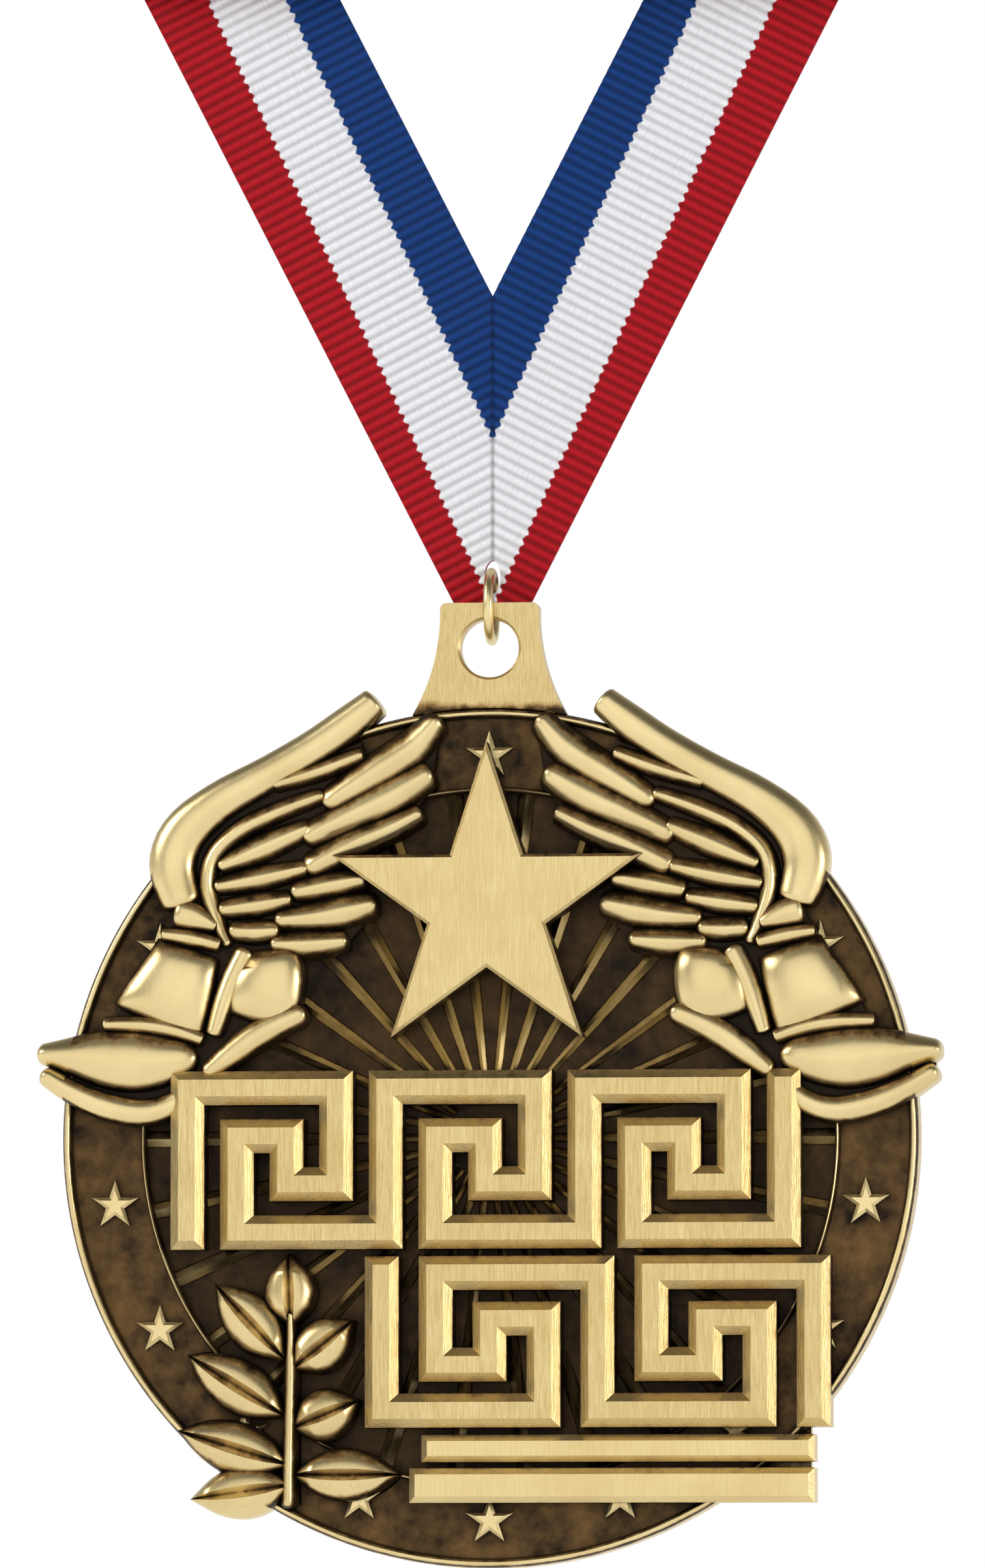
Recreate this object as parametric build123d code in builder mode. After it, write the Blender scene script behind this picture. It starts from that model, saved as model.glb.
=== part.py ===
from build123d import *

import os
from math import cos, hypot, radians, sin, sqrt, tan

# A cast award medal on a neck ribbon.  It hangs upright: +X to its right, +Z up, its face towards -Y.
# The origin is the middle of the wound ribbon's underside, where a peg or a hook carries it.
# All sizes are in millimetres.

# ---------------------------------------------------------------- driving dimensions
# The disc and the levels of its relief, each measured from the flat back.
disc_diameter = 70.0
field_level = 1.4
band_level = 2.0
ray_level = 2.2
bead_level = 2.9
border_star_level = 2.9
rim_level = 3.2
wing_level = 4.4
shoe_level = 4.7
bar_level = 4.6
ornament_level = 5.0
star_level = 5.4

# The border between the rim and the bead.
rim_width = 0.8
bead_width = 0.5
border_width = 6.9
border_star_count = 18
border_star_radius = 2.0
ray_count = 30
ray_start_radius = 3.5
ray_start_width = 0.25
ray_end_width = 0.75

# The centre star and the ornament, placed for artwork drawn on a disc 70 mm across.
artwork_diameter = 70.0
star_radius = 13.3
star_height = 18.8
star_bevel = 0.25
fret_stroke = 2.75
fret_bevel = 0.7
bar_bevel = 0.5
leaf_width = 4.4
stem_width = 1.3

# The hanger tab and its hole.
tab_height = 8.6
tab_top_half_width = 4.05
tab_waist_half_width = 4.5
tab_foot_half_width = 6.3
tab_thickness = 2.0
tab_set_back = 0.8
hole_radius = 2.4
hole_margin = 1.3
hole_bevel = 0.2
tab_top_radius = 0.5

# The jump ring.
wire_diameter = 0.8
ring_play = 0.3
ring_split_degrees = 6.0

# The ribbon: two legs in a V, sewn on the centre line, and the rest wound into a flat bundle.
ribbon_width = 14.3
ribbon_thickness = 0.55
ribbon_gap = 0.4
leg_angle = 27.1
tip_half_width = 3.1
tip_drop = 1.3
flap_height = 2.2
eyelet_width = 1.3
eyelet_height = 2.8
ribbon_drop = 51.4
allowance_width = 4.0
bundle_length = 66.0
bundle_thickness = 7.0
stitch_length = 1.2
stitch_pitch = 2.0
stitch_width = 0.3
stitch_lift = 0.15
stitch_inset = 1.3
smallest_scrap = 0.25

# ---------------------------------------------------------------- derived places
disc_radius = disc_diameter / 2
artwork_scale = disc_diameter / artwork_diameter
bead_radius = disc_radius - border_width
border_star_ring = (bead_radius + disc_radius - rim_width) / 2

tab_top_z = -ribbon_drop
disc_z = tab_top_z - tab_height - disc_radius
hole_z = tab_top_z - hole_margin - hole_radius
tip_z = tab_top_z - tip_drop

# Depths, from the ribbon's middle plane at y = 0 forward to the medal.
flap_thickness = 2 * ribbon_thickness
tab_back_y = -ribbon_thickness / 2 - ribbon_gap
tab_middle_y = tab_back_y - tab_thickness / 2
tab_front_y = tab_back_y - tab_thickness
disc_back_y = tab_back_y + tab_set_back

# The ring goes round the tab's top margin and the ribbon's flap.
held_depth = ribbon_thickness / 2 + ribbon_thickness - tab_front_y
held_bottom_z = tab_top_z - hole_margin
held_top_z = tip_z + flap_height
ring_y = tab_front_y + held_depth / 2
ring_z = (held_bottom_z + held_top_z) / 2
ring_radius = hypot(held_depth, held_top_z - held_bottom_z) / 2 + ring_play + wire_diameter / 2

# The legs' edges, as half-widths from the centre line.
leg_slope = tan(radians(leg_angle))
leg_across = ribbon_width / cos(radians(leg_angle))
vee_z = tab_top_z + (leg_across - tip_half_width) / leg_slope

face = Plane(origin=(0, disc_back_y, disc_z), x_dir=(1, 0, 0), z_dir=(0, -1, 0))
os.makedirs("parts", exist_ok=True)


def finish(piece, name):
    """Label a finished piece and write it as a STEP file of the same name."""
    piece.part.label = name
    export_step(piece.part, f"parts/{name}.step")


def placed(x, y):
    """A point of the artwork, on the disc as it is sized."""
    return Vector(x, y) * artwork_scale


def clear_of(*outlines):
    """Take the footprints of taller pieces out of the sketch being drawn."""
    for outline in outlines:
        add(outline.sketch_local, mode=Mode.SUBTRACT)


def big_enough(sketch):
    """The faces of a sketch that are more than a scrap left by a cut."""
    return [part for part in sketch.faces() if part.area > smallest_scrap]


def quill(hand, spine, widths):
    """Add a smooth closed outline round a spine, with one width at each of its points."""
    centres = [placed(hand * x, y) for x, y in spine]
    last = len(centres) - 1
    near_side, far_side = [], []
    for index, centre in enumerate(centres):
        along = (centres[min(index + 1, last)] - centres[max(index - 1, 0)]).normalized()
        aside = Vector(-along.Y, along.X) * widths[index] * artwork_scale / 2
        near_side.append(centre + aside)
        far_side.insert(0, centre - aside)
    butt = centres[0] + (centres[0] - centres[1]).normalized() * widths[0] * artwork_scale / 2
    tip = centres[last] + (centres[last] - centres[last - 1]).normalized() * widths[last] * artwork_scale / 2
    with BuildSketch(mode=Mode.PRIVATE) as shape:
        with BuildLine():
            Spline(butt, *near_side, tip, *far_side, periodic=True)
        make_face()
    add(shape.sketch_local)


def panel(hand, corners, corner_radius):
    """Add a panel with straight sides and rounded corners."""
    with BuildSketch(mode=Mode.PRIVATE) as shape:
        with BuildLine():
            Polyline(*[placed(hand * x, y) for x, y in corners], close=True)
        make_face()
        fillet(shape.vertices(), corner_radius * artwork_scale)
    add(shape.sketch_local)


def leaf(x, y, angle, length):
    """Add a pointed leaf made of two arcs, from its foot along an angle."""
    foot = placed(x, y)
    along = Vector(cos(radians(angle)), sin(radians(angle))) * length * artwork_scale
    aside = Vector(-along.Y, along.X).normalized() * leaf_width * artwork_scale / 2
    with BuildSketch(mode=Mode.PRIVATE) as shape:
        with BuildLine():
            ThreePointArc(foot, foot + along / 2 + aside, foot + along)
            ThreePointArc(foot + along, foot + along / 2 - aside, foot)
        make_face()
    add(shape.sketch_local)


def key_path(units):
    """The corners of a continuous key fret, counted in its own rows and columns."""
    unit = [(0, 0), (0, 3), (3, 3), (3, 1), (2, 1), (2, 2), (1, 2), (1, 0)]
    corners = [(4 * index + column, row) for index in range(units) for column, row in unit]
    return corners + [(4 * units, 0), (4 * units, 3)]


def fret(left, right, bottom, top, units, hand):
    """Add a key fret of one unbroken stroke that fills a box."""
    column = (right - left - fret_stroke) / (4 * units)
    row = (top - bottom - fret_stroke) / 3
    middle = (left + right) / 2
    start = middle - hand * (right - left - fret_stroke) / 2
    corners = [(start + hand * x * column, bottom + fret_stroke / 2 + y * row) for x, y in key_path(units)]
    for (x0, y0), (x1, y1) in zip(corners, corners[1:]):
        with Locations(placed((x0 + x1) / 2, (y0 + y1) / 2)):
            Rectangle((abs(x1 - x0) + fret_stroke) * artwork_scale, (abs(y1 - y0) + fret_stroke) * artwork_scale)


# ---------------------------------------------------------------- footprints, tallest first
with BuildSketch() as star_outline:
    with BuildLine():
        star_tips = PolarLocations(star_radius, 5, start_angle=90).local_locations
        star_notches = PolarLocations(star_radius * 0.382, 5, start_angle=126).local_locations
        star_corners = [place.position for pair in zip(star_tips, star_notches) for place in pair]
        Polyline(*[placed(p.X, p.Y + star_height) for p in star_corners], close=True)
    make_face()

with BuildSketch() as upper_fret_outline:
    fret(-25.9, 25.5, -9.1, 5.4, 3, 1)

with BuildSketch() as lower_fret_outline:
    fret(-10.0, 27.9, -23.6, -9.7, 2, -1)

# A sprig of laurel: a stem, three pairs of leaves, a low leaf and a leaf at its top.
sprig_leaves = [
    (-16.0, -28.2, 188, 8.4), (-16.2, -26.6, 163, 9.6), (-16.6, -22.6, 148, 9.4), (-16.6, -18.0, 133, 8.4),
    (-15.9, -27.4, 0, 8.8), (-16.0, -23.6, 22, 6.0), (-16.0, -18.8, 38, 6.4), (-16.1, -15.4, 92, 6.0),
]
with BuildSketch() as sprig_outline:
    for place in sprig_leaves:
        leaf(*place)
    with Locations(placed(-16.1, -22.0)):
        Rectangle(stem_width * artwork_scale, 15.6 * artwork_scale)

with BuildSketch() as upper_bar_outline:
    with Locations(placed(10.6, -25.3)):
        Rectangle(32.0 * artwork_scale, 2.2 * artwork_scale)

with BuildSketch() as lower_bar_outline:
    with Locations(placed(10.1, -28.3)):
        Rectangle(33.0 * artwork_scale, 2.8 * artwork_scale)

# ---------------------------------------------------------------- the disc
# Lobes of the same casting back the bars and the toes where they stand out past the disc.
with BuildPart() as base_disc:
    with BuildSketch(face):
        Circle(disc_radius)
        with Locations(placed(10.3, -25.1)):
            Rectangle(31.6 * artwork_scale, 9.0 * artwork_scale)
        for hand in (-1, 1):
            panel(hand, [(29.0, 7.2), (34.6, 7.3), (36.4, 6.9), (36.2, 4.5), (34.8, 3.4), (29.0, 1.8)], 0.3)
    extrude(amount=field_level)
finish(base_disc, "base_disc")

# ---------------------------------------------------------------- the tallest relief
with BuildPart() as centre_star:
    with BuildSketch(face.offset(field_level)):
        add(star_outline.sketch_local)
    extrude(amount=star_level - field_level)
    chamfer(centre_star.faces().sort_by(Axis.Y)[0].edges(), star_bevel)
finish(centre_star, "centre_star")

for name, outline in (("upper_fret", upper_fret_outline), ("lower_fret", lower_fret_outline)):
    with BuildPart() as key_fret:
        with BuildSketch(face.offset(field_level)):
            add(outline.sketch_local)
        extrude(amount=ornament_level - field_level)
        chamfer(key_fret.faces().sort_by(Axis.Y)[0].edges(), fret_bevel)
    finish(key_fret, name)

with BuildPart() as laurel_sprig:
    with BuildSketch(face.offset(field_level)):
        add(sprig_outline.sketch_local)
        clear_of(upper_fret_outline, lower_fret_outline, upper_bar_outline, lower_bar_outline)
    extrude(amount=ornament_level - field_level)
finish(laurel_sprig, "laurel_sprig")

for name, outline in (("upper_bar", upper_bar_outline), ("lower_bar", lower_bar_outline)):
    with BuildPart() as plain_bar:
        with BuildSketch(face.offset(field_level)):
            add(outline.sketch_local)
        extrude(amount=bar_level - field_level)
        chamfer(plain_bar.faces().sort_by(Axis.Y)[0].edges(), bar_bevel)
    finish(plain_bar, name)

# ---------------------------------------------------------------- a winged shoe on each side
# Points are for the right side; the left side is its mirror image.
top_ornament = [star_outline, upper_fret_outline, lower_fret_outline, sprig_outline,
                upper_bar_outline, lower_bar_outline]
shoe_outlines = []
wing_outlines = []

for side, hand in (("left", -1), ("right", 1)):
    with BuildSketch() as sole_outline:
        quill(hand, [(36.0, 4.7), (34.2, 3.8), (31.5, 2.8), (28.5, 2.2), (26.2, 2.7), (24.9, 3.6)],
              [1.4, 1.6, 1.8, 1.8, 1.6, 1.3])
        quill(hand, [(15.6, 10.0), (17.3, 9.3), (19.3, 8.2), (21.2, 6.8), (22.6, 5.8)], [1.1, 1.3, 1.4, 1.2, 0.7])
        clear_of(*top_ornament)
    with BuildSketch() as toe_outline:
        quill(hand, [(36.2, 6.6), (34.5, 6.5), (32.0, 6.4), (29.5, 6.1), (27.0, 5.8), (25.6, 6.0)],
              [1.3, 2.5, 3.6, 4.0, 2.8, 1.2])
        clear_of(*top_ornament, sole_outline)
    with BuildSketch() as trim_outline:
        quill(hand, [(31.0, 9.1), (28.0, 9.0), (25.5, 8.4), (23.6, 7.6)], [0.8, 0.9, 0.9, 0.8])
        quill(hand, [(26.2, 16.2), (24.2, 15.9), (22.3, 15.4)], [0.7, 0.8, 0.7])
        quill(hand, [(20.0, 14.8), (20.8, 13.3), (21.5, 11.6), (22.0, 10.0), (22.4, 8.7)], [1.2, 1.3, 1.2, 1.1, 0.8])
        clear_of(*top_ornament, sole_outline, toe_outline)
    with BuildSketch() as upper_outline:
        panel(hand, [(27.3, 15.3), (22.2, 14.6), (23.3, 8.9), (30.2, 10.3)], 0.6)
        panel(hand, [(18.4, 14.9), (16.4, 15.0), (15.4, 12.6), (16.0, 11.4), (20.7, 9.2), (19.8, 12.2)], 0.4)
        quill(hand, [(24.7, 18.1), (23.7, 17.8), (22.6, 17.2)], [1.3, 1.3, 0.6])
        clear_of(*top_ornament, sole_outline, toe_outline, trim_outline)
    with BuildSketch() as edge_outline:
        quill(hand,
              [(25.6, 20.3), (25.7, 22.5), (24.5, 25.2), (21.8, 27.6), (18.0, 29.8), (14.0, 32.4), (10.4, 35.0)],
              [2.4, 2.9, 2.8, 2.5, 2.4, 2.2, 2.0])
        clear_of(*top_ornament)
    with BuildSketch() as covert_outline:
        quill(hand, [(13.8, 27.8), (17.0, 26.7), (20.2, 25.2), (22.4, 23.2), (23.0, 20.8), (22.4, 18.2), (21.4, 16.0)],
              [1.0, 1.3, 1.3, 1.2, 1.2, 1.1, 0.8])
        quill(hand, [(21.2, 22.4), (18.2, 23.7), (15.6, 24.8)], [0.8, 1.4, 0.9])
        quill(hand, [(21.5, 20.8), (18.4, 21.1), (15.8, 21.8)], [0.8, 1.2, 0.9])
        quill(hand, [(21.0, 18.9), (18.9, 19.0), (16.9, 19.4)], [0.9, 1.2, 0.9])
        quill(hand, [(19.9, 16.9), (19.0, 16.7), (18.1, 17.0)], [1.2, 1.6, 1.0])
        clear_of(*top_ornament, trim_outline, upper_outline, edge_outline)
    with BuildSketch() as primary_outline:
        quill(hand, [(16.6, 29.0), (13.6, 30.0), (10.7, 31.1)], [0.8, 1.1, 0.9])
        quill(hand, [(12.2, 27.9), (10.0, 29.4), (7.4, 30.9), (4.7, 32.8)], [1.3, 1.9, 2.1, 1.9])
        quill(hand, [(13.9, 25.0), (10.8, 26.4), (7.8, 27.8), (5.2, 29.0)], [1.4, 1.9, 2.2, 1.9])
        quill(hand, [(13.7, 22.9), (11.0, 24.1), (8.2, 25.3), (6.0, 26.3)], [1.6, 1.7, 1.5, 1.1])
        quill(hand, [(15.0, 20.2), (12.8, 20.7), (10.7, 20.9)], [1.0, 1.5, 0.9])
        quill(hand, [(16.3, 17.9), (14.3, 18.1), (12.0, 18.6), (9.8, 18.9)], [0.9, 1.6, 2.0, 1.2])
        quill(hand, [(16.8, 16.0), (14.4, 16.0), (12.1, 16.2)], [1.0, 1.6, 1.1])
        clear_of(*top_ornament, upper_outline, edge_outline, covert_outline)

    raised = {
        "shoe_sole": (sole_outline, shoe_level),
        "shoe_toe": (toe_outline, shoe_level),
        "shoe_trim": (trim_outline, shoe_level),
        "shoe_upper": (upper_outline, shoe_level),
        "wing_edge": (edge_outline, wing_level),
        "wing_coverts": (covert_outline, wing_level),
        "wing_primaries": (primary_outline, wing_level),
    }
    for name, (outline, level) in raised.items():
        with BuildPart() as relief:
            with BuildSketch(face.offset(field_level)):
                add(big_enough(outline.sketch_local))
            extrude(amount=level - field_level)
        finish(relief, f"{side}_{name}")
    shoe_outlines += [sole_outline, toe_outline, trim_outline, upper_outline]
    wing_outlines += [edge_outline, covert_outline, primary_outline]

# ---------------------------------------------------------------- the border and the rays
tall_outlines = top_ornament + shoe_outlines + wing_outlines

with BuildSketch() as band_outline:
    Circle(disc_radius)
    Circle(bead_radius, mode=Mode.SUBTRACT)
    clear_of(*tall_outlines)
with BuildPart() as border_band:
    with BuildSketch(face.offset(field_level)):
        add(big_enough(band_outline.sketch_local))
    extrude(amount=band_level - field_level)
finish(border_band, "border_band")

with BuildSketch() as rim_outline:
    Circle(disc_radius)
    Circle(disc_radius - rim_width, mode=Mode.SUBTRACT)
    clear_of(*tall_outlines)
with BuildPart() as outer_rim:
    with BuildSketch(face.offset(band_level)):
        add(big_enough(rim_outline.sketch_local))
    extrude(amount=rim_level - band_level)
finish(outer_rim, "outer_rim")

with BuildSketch() as bead_outline:
    Circle(bead_radius + bead_width)
    Circle(bead_radius, mode=Mode.SUBTRACT)
    clear_of(*tall_outlines)
with BuildPart() as bead_ring:
    with BuildSketch(face.offset(band_level)):
        add(big_enough(bead_outline.sketch_local))
    extrude(amount=bead_level - band_level)
finish(bead_ring, "bead_ring")

with BuildSketch() as border_star_outline:
    with PolarLocations(border_star_ring, border_star_count, start_angle=90, rotate=False):
        with BuildSketch(mode=Mode.PRIVATE) as one_star:
            with BuildLine():
                Polyline(*[p * (border_star_radius / star_radius) for p in star_corners], close=True)
            make_face()
        add(one_star.sketch_local)
    clear_of(*tall_outlines)
with BuildPart() as border_stars:
    with BuildSketch(face.offset(band_level)):
        add(big_enough(border_star_outline.sketch_local))
    extrude(amount=border_star_level - band_level)
finish(border_stars, "border_stars")

with BuildSketch() as ray_outline:
    with PolarLocations(0, ray_count):
        with BuildSketch(mode=Mode.PRIVATE) as one_ray:
            with BuildLine():
                Polyline((ray_start_radius, -ray_start_width / 2), (bead_radius + bead_width, -ray_end_width / 2),
                         (bead_radius + bead_width, ray_end_width / 2), (ray_start_radius, ray_start_width / 2),
                         close=True)
            make_face()
        add(one_ray.sketch_local)
    with BuildSketch(mode=Mode.PRIVATE) as outside_field:
        Circle(disc_radius)
        Circle(bead_radius, mode=Mode.SUBTRACT)
    clear_of(outside_field, *tall_outlines)
with BuildPart() as sun_rays:
    with BuildSketch(face.offset(field_level)):
        add(big_enough(ray_outline.sketch_local))
    extrude(amount=ray_level - field_level)
finish(sun_rays, "sun_rays")

# ---------------------------------------------------------------- the hanger tab
with BuildPart() as hanger_tab:
    with BuildSketch(Plane((0, tab_back_y, tab_top_z), x_dir=(1, 0, 0), z_dir=(0, -1, 0))):
        foot_depth = tab_height + disc_radius - sqrt(disc_radius**2 - tab_foot_half_width**2)
        with BuildLine():
            Line((-tab_top_half_width, 0), (tab_top_half_width, 0))
            Spline((tab_top_half_width, 0), (tab_waist_half_width, -tab_height * 0.55),
                   (tab_foot_half_width, -foot_depth))
            ThreePointArc((tab_foot_half_width, -foot_depth), (0, -tab_height), (-tab_foot_half_width, -foot_depth))
            Spline((-tab_foot_half_width, -foot_depth), (-tab_waist_half_width, -tab_height * 0.55),
                   (-tab_top_half_width, 0))
        make_face()
    extrude(amount=tab_thickness)
    fillet(hanger_tab.edges().filter_by(Axis.Y).group_by(Axis.Z)[-1], tab_top_radius)
    with Locations(Location((0, tab_front_y, hole_z), (90, 0, 0))):
        Hole(hole_radius, depth=tab_thickness)
    chamfer(hanger_tab.edges().filter_by(GeomType.CIRCLE).filter_by(lambda e: abs(e.radius - hole_radius) < 0.01),
            hole_bevel)
finish(hanger_tab, "hanger_tab")

# ---------------------------------------------------------------- the jump ring, open by a saw cut at its back
with BuildPart() as jump_ring:
    with BuildSketch(Plane.XY.offset(ring_z)):
        with Locations((0, ring_y + ring_radius)):
            Circle(wire_diameter / 2)
    revolve(axis=Axis((0, ring_y, ring_z), (1, 0, 0)), revolution_arc=360 - ring_split_degrees)
finish(jump_ring, "jump_ring")

# ---------------------------------------------------------------- the ribbon
eyelet_z = held_top_z + eyelet_height / 2
outer_top = tip_half_width + leg_slope * ribbon_drop
inner_top = outer_top - leg_across
tip_corner = tip_half_width - leg_slope * tip_drop
ribbon_front = Plane((0, -ribbon_thickness / 2, 0), x_dir=(1, 0, 0), z_dir=(0, 1, 0))

for side, hand in (("left", -1), ("right", 1)):
    with BuildPart() as leg:
        with BuildSketch(Plane.XZ.offset(-ribbon_thickness / 2)):
            with BuildLine():
                Polyline((0, tip_z), (hand * tip_corner, tip_z), (hand * outer_top, 0), (hand * inner_top, 0),
                         (0, vee_z), close=True)
            make_face()
            with Locations((0, eyelet_z)):
                SlotOverall(eyelet_height, eyelet_width, rotation=90, mode=Mode.SUBTRACT)
        extrude(amount=ribbon_thickness)
    finish(leg, f"{side}_ribbon_leg")

# The raw ends are turned back and pressed flat behind the seam.
allowance_corner_z = tab_top_z + (allowance_width - tip_half_width) / leg_slope
allowance_shoulder_z = vee_z - allowance_width * leg_slope
with BuildPart() as seam_allowance:
    with BuildSketch(Plane.XZ.offset(-ribbon_thickness * 1.5)):
        with BuildLine():
            right_side = [(tip_corner, tip_z), (allowance_width, allowance_corner_z),
                          (allowance_width, allowance_shoulder_z)]
            left_side = [(-x, z) for x, z in reversed(right_side)]
            Polyline(*right_side, (0, vee_z), *left_side, close=True)
        make_face()
        with Locations((0, eyelet_z)):
            SlotOverall(eyelet_height, eyelet_width, rotation=90, mode=Mode.SUBTRACT)
    extrude(amount=ribbon_thickness)
finish(seam_allowance, "seam_allowance")

stitch_bottom_z = eyelet_z + eyelet_height / 2 + stitch_length
stitch_count = int((allowance_shoulder_z - stitch_bottom_z) / stitch_pitch)
with BuildPart() as seam_stitches:
    with BuildSketch(Plane.XZ.offset(-ribbon_thickness * 1.5 - stitch_lift)):
        with Locations((0, stitch_bottom_z + (stitch_count - 1) * stitch_pitch / 2)):
            with GridLocations(2 * stitch_inset, stitch_pitch, 2, stitch_count):
                SlotOverall(stitch_length, stitch_width, rotation=90)
    extrude(amount=stitch_lift)
finish(seam_stitches, "seam_stitches")

with BuildPart() as ribbon_bundle:
    with BuildSketch(Plane.XY):
        SlotOverall(bundle_length, bundle_thickness)
    extrude(amount=ribbon_width)
finish(ribbon_bundle, "ribbon_bundle")

# The ribbon's middle goes once round the bundle's waist and holds it.
with BuildPart() as waist_wrap:
    with BuildSketch(Plane.YZ.offset(-ribbon_width / 2)):
        with Locations((0, ribbon_width / 2)):
            RectangleRounded(bundle_thickness + flap_thickness, ribbon_width + flap_thickness, ribbon_thickness)
            Rectangle(bundle_thickness, ribbon_width, mode=Mode.SUBTRACT)
    extrude(amount=ribbon_width)
finish(waist_wrap, "waist_wrap")
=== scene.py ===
import bisect
import math

import bpy
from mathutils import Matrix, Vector


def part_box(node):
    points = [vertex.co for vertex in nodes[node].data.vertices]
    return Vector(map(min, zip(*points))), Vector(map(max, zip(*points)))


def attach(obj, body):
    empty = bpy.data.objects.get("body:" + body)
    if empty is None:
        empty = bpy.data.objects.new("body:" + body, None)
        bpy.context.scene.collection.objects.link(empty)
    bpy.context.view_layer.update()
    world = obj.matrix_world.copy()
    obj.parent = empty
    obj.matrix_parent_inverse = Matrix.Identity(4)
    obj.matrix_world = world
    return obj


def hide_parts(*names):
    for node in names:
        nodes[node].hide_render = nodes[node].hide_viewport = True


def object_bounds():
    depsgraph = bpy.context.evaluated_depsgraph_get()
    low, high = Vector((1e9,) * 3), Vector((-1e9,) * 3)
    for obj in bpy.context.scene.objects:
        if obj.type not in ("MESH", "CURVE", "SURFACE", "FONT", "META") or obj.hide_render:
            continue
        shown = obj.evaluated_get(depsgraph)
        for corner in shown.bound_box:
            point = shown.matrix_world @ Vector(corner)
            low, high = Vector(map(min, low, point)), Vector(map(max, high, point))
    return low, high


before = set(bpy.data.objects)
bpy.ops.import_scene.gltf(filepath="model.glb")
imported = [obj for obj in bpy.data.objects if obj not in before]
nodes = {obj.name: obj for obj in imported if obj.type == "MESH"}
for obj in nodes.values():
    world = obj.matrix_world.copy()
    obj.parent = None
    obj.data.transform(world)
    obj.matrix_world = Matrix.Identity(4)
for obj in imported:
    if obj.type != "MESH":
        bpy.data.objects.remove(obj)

cad_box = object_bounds()
scene = bpy.context.scene
mm = 0.001
hair = 1e-7  # metres: how near two points are one

# ------------------------------------------------------------------ studio
# The medal hangs in front of a white sheet, seen a little from its right and from below.
# Two soft boxes stand at its sides and a large one behind the camera lights its flat faces.
scene.view_settings.view_transform = "Standard"
rim_low, rim_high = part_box("outer_rim")
disc_radius = (rim_high.x - rim_low.x) / 2 / mm
disc_centre = Vector(((rim_low.x + rim_high.x) / 2, 0, rim_low.z + disc_radius * mm))
view_height = 127.6 * mm
camera_distance = 1.2
camera_azimuth = math.radians(6.0)
camera_elevation = math.radians(-4.0)
aim_aside, aim_rise = 0.3 * mm, 28.75 * mm
aim = Vector((disc_centre.x + aim_aside, rim_low.y, disc_centre.z + aim_rise))
towards_camera = Vector((
    math.sin(camera_azimuth) * math.cos(camera_elevation),
    -math.cos(camera_azimuth) * math.cos(camera_elevation),
    math.sin(camera_elevation),
))
bpy.ops.object.camera_add(location=aim + towards_camera * camera_distance)
camera = bpy.context.object
camera.rotation_euler = (-towards_camera).to_track_quat("-Z", "Y").to_euler()
camera.data.sensor_width = 36.0
camera.data.lens = camera.data.sensor_width * mm * camera_distance / view_height / mm
scene.camera = camera


def soft_box(name, direction, distance, size, power):
    """A square lamp that faces the medal."""
    bpy.ops.object.light_add(type="AREA", location=aim + Vector(direction).normalized() * distance)
    lamp = bpy.context.object
    lamp.name = name
    lamp.rotation_euler = (aim - lamp.location).to_track_quat("-Z", "Y").to_euler()
    lamp.data.size = size
    lamp.data.energy = power


# Each lamp: its direction from the medal, its distance and size in metres, its power in watts.
soft_box("front_box", (0.05, -1.0, 0.15), 1.6, 1.7, 8.4)
soft_box("left_box", (-1.0, -0.5, 0.6), 0.9, 0.35, 3.4)
soft_box("right_box", (1.0, -0.4, 0.0), 0.9, 0.25, 2.0)


def add_node(tree, kind, links=None, **settings):
    """Add a node; each entry of links sets or joins one of its input sockets."""
    node = tree.nodes.new("ShaderNode" + kind)
    for name, value in settings.items():
        setattr(node, name, value)
    for key, value in (links or {}).items():
        if isinstance(value, bpy.types.NodeSocket):
            tree.links.new(value, node.inputs[key])
        else:
            node.inputs[key].default_value = value
    return node


def new_material(name):
    """An empty node material and the socket of its surface."""
    material = bpy.data.materials.new(name)
    material.use_nodes = True
    tree = material.node_tree
    tree.nodes.clear()
    output = tree.nodes.new("ShaderNodeOutputMaterial")
    return material, tree, output.inputs["Surface"]


# The paper is lit by the lamps near the medal and turns plain white far behind it, with no horizon.
paper, tree, surface = new_material("white_paper")
path = add_node(tree, "LightPath")
shine = add_node(tree, "Math", {0: path.outputs["Is Glossy Ray"], 1: 0.45}, operation="MULTIPLY")
fill = add_node(tree, "Math", {0: path.outputs["Is Camera Ray"], 1: 0.14, 2: shine.outputs[0]},
                operation="MULTIPLY_ADD")
matt = add_node(tree, "BsdfDiffuse", {"Color": (0.84, 0.84, 0.84, 1)})
glow = add_node(tree, "Emission", {"Color": (1, 1, 1, 1), "Strength": fill.outputs[0]})
both = add_node(tree, "AddShader", {0: matt.outputs[0], 1: glow.outputs[0]})
ground_place = add_node(tree, "TexCoord")
from_medal = add_node(tree, "VectorMath", {0: ground_place.outputs["Object"]}, operation="LENGTH")
far = add_node(tree, "MapRange", {"Value": from_medal.outputs["Value"], "From Min": 0.35, "From Max": 2.2},
               interpolation_type="SMOOTHSTEP")
sweep = add_node(tree, "Math", {0: far.outputs[0], 1: path.outputs["Is Camera Ray"]}, operation="MULTIPLY")
white = add_node(tree, "Emission", {"Color": (1, 1, 1, 1), "Strength": 1.0})
swept = add_node(tree, "MixShader", {0: sweep.outputs[0], 1: both.outputs[0], 2: white.outputs[0]})
tree.links.new(swept.outputs[0], surface)

object_low = cad_box[0]
floor_drop = 30 * mm
floor_size = 6.0
bpy.ops.mesh.primitive_plane_add(size=floor_size, location=(0, 0, object_low.z - floor_drop))
floor = bpy.context.object
floor.name = "floor"
floor.data.materials.append(paper)

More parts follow.
